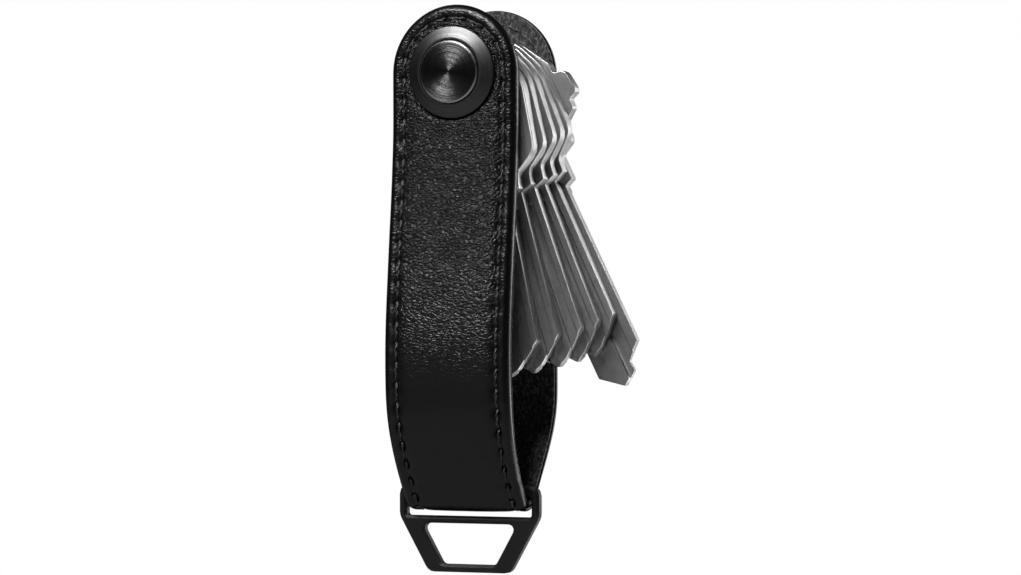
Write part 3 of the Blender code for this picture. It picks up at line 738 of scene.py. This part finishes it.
def seam_line(name, height, puff):
    """The closed seam line as bare edges, each point with the way out of the strap."""
    round_end = end_ways()
    stops = [(place, RIGHT) for place in PLACES]
    stops += [(PLACES[-1], way) for way in round_end]
    stops += [(place, LEFT) for place in reversed(PLACES)]
    stops += [(PLACES[0], way) for way in reversed(round_end)]
    seam = HALF_WIDTH - SEAM_MARGIN
    points = [place.at(seam * way[0], height + puff * place.padding, seam * way[1]) for place, way in stops]
    sense = 1 if height > LINING_THICKNESS else -1
    ways_out = [Vector((0.0, *place.normal)) * sense for place, _ in stops]
    data = bpy.data.meshes.new(name)
    data.from_pydata(points, [(index, (index + 1) % len(points)) for index in range(len(points))], [])
    attribute = data.attributes.new("way_out", "FLOAT_VECTOR", "POINT")
    attribute.data.foreach_set("vector", [number for way_out in ways_out for number in way_out])
    line_object = bpy.data.objects.new(name, data)
    bpy.context.collection.objects.link(line_object)
    return line_object


def stitch_form(length):
    """One stitch along X: two twisted plies that rise out of one hole and dive into the next."""
    mesh = bmesh.new()
    steps, sides, turns = 9, 5, 1.25
    ply_radius = THREAD_DIAMETER * 0.31
    twist_radius = ply_radius * 0.75
    arch_height, sunk_ends = 0.95, 0.7
    for strand in range(2):
        rings = []
        for step in range(steps + 1):
            share = step / steps
            arch = 1 - (2 * share - 1) ** 4
            rise = THREAD_DIAMETER * (arch_height * arch - sunk_ends)
            twist = 2 * math.pi * turns * share + math.pi * strand
            centre = Vector(((share - 0.5) * length, math.cos(twist) * twist_radius,
                             rise + math.sin(twist) * twist_radius))
            angles = [2 * math.pi * side / sides for side in range(sides)]
            rings.append([mesh.verts.new(centre + Vector((0.0, math.cos(turn), math.sin(turn))) * ply_radius)
                          for turn in angles])
        for first, second in zip(rings, rings[1:]):
            bridge(mesh, first, second)
        mesh.faces.new(rings[0])
        mesh.faces.new(rings[-1])
    return finished("stitch_form", mesh, waxed_thread(), smooth_angle=80.0)


def stitching_tree():
    """A Geometry Nodes group that sets a number of stitches along a closed line, and its inputs."""
    group = bpy.data.node_groups.new("stitching", "GeometryNodeTree")
    face = group.interface
    face.new_socket("Geometry", in_out="INPUT", socket_type="NodeSocketGeometry")
    sockets = {name: face.new_socket(name, in_out="INPUT", socket_type=kind).identifier
               for name, kind in (("Stitch", "NodeSocketObject"), ("Stitch count", "NodeSocketInt"),
                                  ("Thread", "NodeSocketMaterial"))}
    face.new_socket("Geometry", in_out="OUTPUT", socket_type="NodeSocketGeometry")
    tree = Tree(group)
    given = tree.add("NodeGroupInput")
    seam = tree.add("GeometryNodeMeshToCurve", None, {"Mesh": given["Geometry"]})["Curve"]
    points = tree.add("GeometryNodeResampleCurve", None,
                      {"Curve": seam, "Count": given["Stitch count"]})["Curve"]
    tangent = tree.add("GeometryNodeInputTangent")["Tangent"]
    way_out = tree.add("GeometryNodeInputNamedAttribute", {"data_type": "FLOAT_VECTOR"},
                       {"Name": "way_out"})["Attribute"]
    along = tree.add("FunctionNodeAlignRotationToVector", {"axis": "X"}, {"Vector": tangent})["Rotation"]
    upright = tree.add("FunctionNodeAlignRotationToVector", {"axis": "Z", "pivot_axis": "X"},
                       {"Rotation": along, "Vector": way_out})["Rotation"]
    stitch = tree.add("GeometryNodeObjectInfo", None, {"Object": given["Stitch"]})["Geometry"]
    stitches = tree.add("GeometryNodeInstanceOnPoints", None,
                        {"Points": points, "Instance": stitch, "Rotation": upright})["Instances"]
    real = tree.add("GeometryNodeRealizeInstances", None, {"Geometry": stitches})["Geometry"]
    waxed = tree.add("GeometryNodeSetMaterial", None,
                     {"Geometry": real, "Material": given["Thread"]})["Geometry"]
    tree.add("NodeGroupOutput", None, {"Geometry": waxed})
    return group, sockets


def stitched(seam, form, group, sockets):
    """The stitches of one side of the seam, as one plain mesh."""
    modifier = seam.modifiers.new("stitching", "NODES")
    modifier.node_group = group
    modifier[sockets["Stitch"]] = form
    modifier[sockets["Stitch count"]] = STITCH_COUNT
    modifier[sockets["Thread"]] = form.data.materials[0]
    return baked(seam)


def dress(piece, body, node):
    """Tell the frame which body a piece rides and which node it replaces."""
    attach(piece, body)
    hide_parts(node)


def make_strap():
    """Leather, padding, lining and the stitches on both faces."""
    leather = strap_layer("leather", leather_profile(), grained_leather(), leather_relief)
    padding = strap_layer("padding", padding_profile(), foam())
    lining = strap_layer("lining", lining_profile(), suede(), lining_relief)
    form = stitch_form(SEAM_LENGTH / STITCH_COUNT * STITCH_SHARE)
    stitching = stitching_tree()
    outer = stitched(seam_line("outer_stitches", GROOVE_HEIGHT, GROOVE_PUFF), form, *stitching)
    inner = stitched(seam_line("inner_stitches", INNER_SEAM_HEIGHT, 0.0), form, *stitching)
    bpy.data.objects.remove(form)
    for piece, node, slot in ((leather, "strap_leather", "black_leather"),
                              (padding, "strap_padding", "grey_foam"),
                              (lining, "strap_lining", "black_suede"),
                              (outer, "outer_seam_thread", "black_thread"),
                              (inner, "inner_seam_thread", "black_thread")):
        dress(piece, "strap_and_post", node)


# ---------------------------------------------------------------- button

def turned(name, profile, material, hollow=False):
    """A piece turned round the post's axis from (radius, y) points."""
    mesh = bmesh.new()
    rings = [circle(mesh, radius, y, TURNED_SEGMENTS) for radius, y in profile]
    for first, second in zip(rings, rings[1:]):
        bridge(mesh, first, second)
    if hollow:
        bridge(mesh, rings[-1], rings[0])
    else:
        mesh.faces.new(rings[0])
        mesh.faces.new(rings[-1])
    return finished(name, mesh, material, smooth_angle=32.0)


def tool_marks(start, end, height):
    """Fine ridges from one (radius, y) point to another, as a lathe tool leaves them."""
    span = Vector(end) - Vector(start)
    ridge = Vector((-span.y, span.x)).normalized() * height
    phase = 0.4
    count = max(1, round(span.length / TURNING_PITCH)) * RIDGE_STEPS
    points = []
    for step in range(count + 1):
        swing = math.sin(2 * math.pi * step / RIDGE_STEPS + phase)
        points.append(tuple(Vector(start) + span * (step / count) + ridge * swing))
    return points


def mirrored_to_back(profile):
    """The same turned profile on the back of the organiser."""
    return [(radius, BACK_FACE_Y - y) for radius, y in profile]


def cut_bright(piece, material):
    """Give the chamfer round a head its own finish."""
    piece.data.materials.append(material)
    margin = 0.01 * MM
    chamfer_start = HEAD_RADIUS - HEAD_CHAMFER - margin
    chamfer_depth = 1.15 * HEAD_CHAMFER
    for face in piece.data.polygons:
        radius = math.hypot(face.center.x, face.center.z)
        depth = min(face.center.y, BACK_FACE_Y - face.center.y)
        if radius > chamfer_start and depth < chamfer_depth:
            face.material_index = 1


def head_profile():
    """The disc head: turned face, a bright chamfer and the side."""
    marks = tool_marks((HEAD_CENTRE_RADIUS, 0.0), (HEAD_RADIUS - HEAD_CHAMFER, 0.0), HEAD_MARKS)
    chamfer = [(HEAD_RADIUS - 0.03 * MM, HEAD_CHAMFER * 0.75), (HEAD_RADIUS, HEAD_CHAMFER * 1.1)]
    return marks + chamfer + [(HEAD_RADIUS, HEAD_THICKNESS)]


def bezel_profile():
    """The bezel: a wide satin slope round a narrow dark groove."""
    front, foot = BEZEL_BOX[0].y, BEZEL_BOX[1].y
    rim = front + BEZEL_SLOPE_DROP
    groove = HEAD_RADIUS + RUNNING_GAP
    lip = groove + BEZEL_LIP_WIDTH
    floor = HEAD_THICKNESS + STACK_GAP
    hole = POST_RADIUS + RUNNING_GAP
    side = [(BEZEL_RADIUS - BEZEL_EDGE, foot), (BEZEL_RADIUS, foot - BEZEL_EDGE),
            (BEZEL_RADIUS, rim + 0.05 * MM)]
    slope = tool_marks((BEZEL_RADIUS - 0.12 * MM, rim - 0.06 * MM), (lip + 0.10 * MM, front + 0.02 * MM),
                       BEZEL_MARKS)
    inside = [(lip, front), (groove + 0.06 * MM, front), (groove, front + 0.08 * MM), (groove, floor),
              (hole, floor), (hole, foot)]
    return side + slope + inside


def coin_slot_mill(material):
    """The bar-shaped mill that cuts the coin slot across the screw's head."""
    mesh = bmesh.new()
    bmesh.ops.create_cube(mesh, size=1.0)
    size = (2 * HEAD_RADIUS + 1.0 * MM, 2 * COIN_SLOT_DEPTH, COIN_SLOT_WIDTH)
    bmesh.ops.scale(mesh, vec=size, verts=mesh.verts)
    bmesh.ops.translate(mesh, vec=(0.0, BACK_FACE_Y, 0.0), verts=mesh.verts)
    return finished("mill", mesh, material)


def make_post(material):
    """The front head with the post, which is bored for the screw."""
    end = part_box("button_post")[1].y
    bore = SCREW_RADIUS + RUNNING_GAP
    return turned("button", head_profile() + [(POST_RADIUS, HEAD_THICKNESS), (POST_RADIUS, end), (bore, end),
                                              (bore, end - BORE_DEPTH)], material)


def make_clamp_screw(material):
    """The back head with its screw and coin slot."""
    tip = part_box("clamp_screw")[0].y
    screw = turned("screw", mirrored_to_back(head_profile())
                   + [(SCREW_RADIUS, BACK_FACE_Y - HEAD_THICKNESS), (SCREW_RADIUS, tip)], material)
    cut_away(screw, coin_slot_mill(material))
    return screw


def make_button():
    """The post and its head, the clamp screw, both bezels and the washers' finish."""
    head_black = black_anodised("black_anodised_head", roughness=0.22, depth=0.55)
    bezel_black = black_anodised("black_anodised_bezel", roughness=0.30, depth=1.0)
    post = make_post(head_black)
    screw = make_clamp_screw(head_black)
    bright = bright_cut()
    cut_bright(post, bright)
    cut_bright(screw, bright)
    front = turned("front_surround", bezel_profile(), bezel_black, hollow=True)
    back = turned("back_surround", mirrored_to_back(bezel_profile()), bezel_black, hollow=True)
    for piece, body, node in ((post, "strap_and_post", "button_post"),
                              (front, "strap_and_post", "front_bezel"),
                              (screw, "clamp_screw_body", "clamp_screw"),
                              (back, "strap_and_post", "back_bezel")):
        dress(piece, body, node)
    nylon = black_nylon()
    for node in ("front_washer", "back_washer"):
        frame["nodes"][node].data.materials.clear()
        frame["nodes"][node].data.materials.append(nylon)


# ---------------------------------------------------------------- keys and ring

def eased_copy(node, name, material, width, segments=2):
    """A copy of a frame node with every hard edge eased."""
    flat, hard = math.radians(1.0), math.radians(32.0)
    mesh = bmesh.new()
    mesh.from_mesh(frame["nodes"][node].data)
    bmesh.ops.remove_doubles(mesh, verts=mesh.verts, dist=0.002 * MM)
    bmesh.ops.dissolve_limit(mesh, angle_limit=flat, verts=mesh.verts, edges=mesh.edges)
    piece = finished(name, mesh, material, smooth_angle=30.0)
    bevel = piece.modifiers.new("eased", "BEVEL")
    bevel.width = width
    bevel.segments = segments
    bevel.limit_method = "ANGLE"
    bevel.angle_limit = hard
    bevel.harden_normals = True
    return baked(piece)


def make_keys():
    """Every key, eased and brushed."""
    for node, swing in KEY_SWINGS.items():
        easing = THIN_KEY_EASING if node == "thin_key" else KEY_EASING
        key = eased_copy(node, node + "_piece", brushed_nickel("nickel_" + node, swing), easing)
        dress(key, node + "_body", node)


def make_ring():
    """The flat ring, with softened chamfers."""
    ring = eased_copy("d_ring", "ring_piece", satin_black_steel(), RING_EASING, segments=3)
    dress(ring, "ring", "d_ring")


# ---------------------------------------------------------------- studio

def area_light(name, place, target, size, power):
    """A soft rectangular light that points at a target."""
    data = bpy.data.lights.new(name, "AREA")
    data.shape = "RECTANGLE"
    data.size, data.size_y = size
    data.energy = power
    light = bpy.data.objects.new(name, data)
    light.location = place
    light.rotation_euler = (target - light.location).to_track_quat("-Z", "Y").to_euler()
    bpy.context.collection.objects.link(light)


def make_floor():
    """A floor that the camera sees as white and that lights the organiser as pale grey."""
    surface = Surface("pale_floor", Roughness=0.9, Base_Color=FLOOR_GREY)
    white = surface.add("ShaderNodeEmission", None, {"Color": WHITE})["Emission"]
    matt = Value(surface, surface.shader.outputs["BSDF"])
    ending = surface.nodes["Material Output"]
    surface.set(ending.inputs["Surface"], surface.for_the_camera(matt, white))
    half = FLOOR_HALF_WIDTH
    corners = [(x, y, FLOOR_LEVEL) for x, y in ((-half, -half), (half, -half), (half, half), (-half, half))]
    mesh = bpy.data.meshes.new("floor")
    mesh.from_pydata(corners, [], [(0, 1, 2, 3)])
    mesh.materials.append(surface.material)
    floor = bpy.data.objects.new("floor", mesh)
    bpy.context.collection.objects.link(floor)


def make_world():
    """A world that the camera sees as white, and that lights more from behind than from the front."""
    world = bpy.data.worlds.new("studio")
    world.use_nodes = True
    bpy.context.scene.world = world
    tree = Tree(world.node_tree)
    way = tree.add("ShaderNodeTexCoord")["Generated"]
    strength = tree.ramp(tree.parts(way)["Y"], -0.30, 0.25, from_value=0.03, to_value=0.5)
    lit = tree.add("ShaderNodeBackground", None, {"Color": WORLD_GREY, "Strength": strength})["Background"]
    seen = tree.add("ShaderNodeBackground", None, {"Color": WHITE})["Background"]
    tree.set(tree.nodes["World Output"].inputs["Surface"], tree.for_the_camera(lit, seen))


def make_lights():
    """Six soft lights; the top one gives the leather its sheen."""
    area_light("top_light", (-0.14, -0.56, 0.68), BUTTON, (0.60, 0.16), 13.0)
    area_light("low_left_light", (-0.72, -0.36, -0.34), BUTTON, (0.10, 0.10), 0.6)
    area_light("low_front_light", (0.16, -0.75, -0.47), BUTTON, (0.12, 0.12), 0.25)
    area_light("front_fill_light", (-0.36, -0.80, -0.05), STRAP_MIDDLE, (0.25, 0.35), 0.025)
    area_light("right_light", (0.46, 0.48, 0.06), STRAP_MIDDLE, (0.3, 0.5), 2.4)
    area_light("floor_light", (0.14, 0.12, -0.24), STRAP_FOOT, (0.25, 0.25), 0.7)


def make_camera():
    """A long lens, level with the middle of the strap and a little to its right."""
    data = bpy.data.cameras.new("camera")
    data.lens = LENS_MM
    data.sensor_width = SENSOR_WIDTH_MM
    data.clip_start = 0.01
    camera = bpy.data.objects.new("camera", data)
    level = math.cos(VIEW_ELEVATION)
    back = Vector((math.sin(VIEW_AZIMUTH) * level, -math.cos(VIEW_AZIMUTH) * level, math.sin(VIEW_ELEVATION)))
    camera.location = VIEW_TARGET + back * VIEW_DISTANCE
    view = (-back).to_track_quat("-Z", "Y").to_matrix().to_4x4()
    turn = view @ view.Rotation(VIEW_ROLL, 4, "Z")
    camera.rotation_euler = turn.to_euler()
    bpy.context.collection.objects.link(camera)
    bpy.context.scene.camera = camera


make_camera()
make_strap()
make_button()
make_keys()
make_ring()
make_floor()
make_world()
make_lights()
bpy.context.scene.view_settings.view_transform = "Standard"
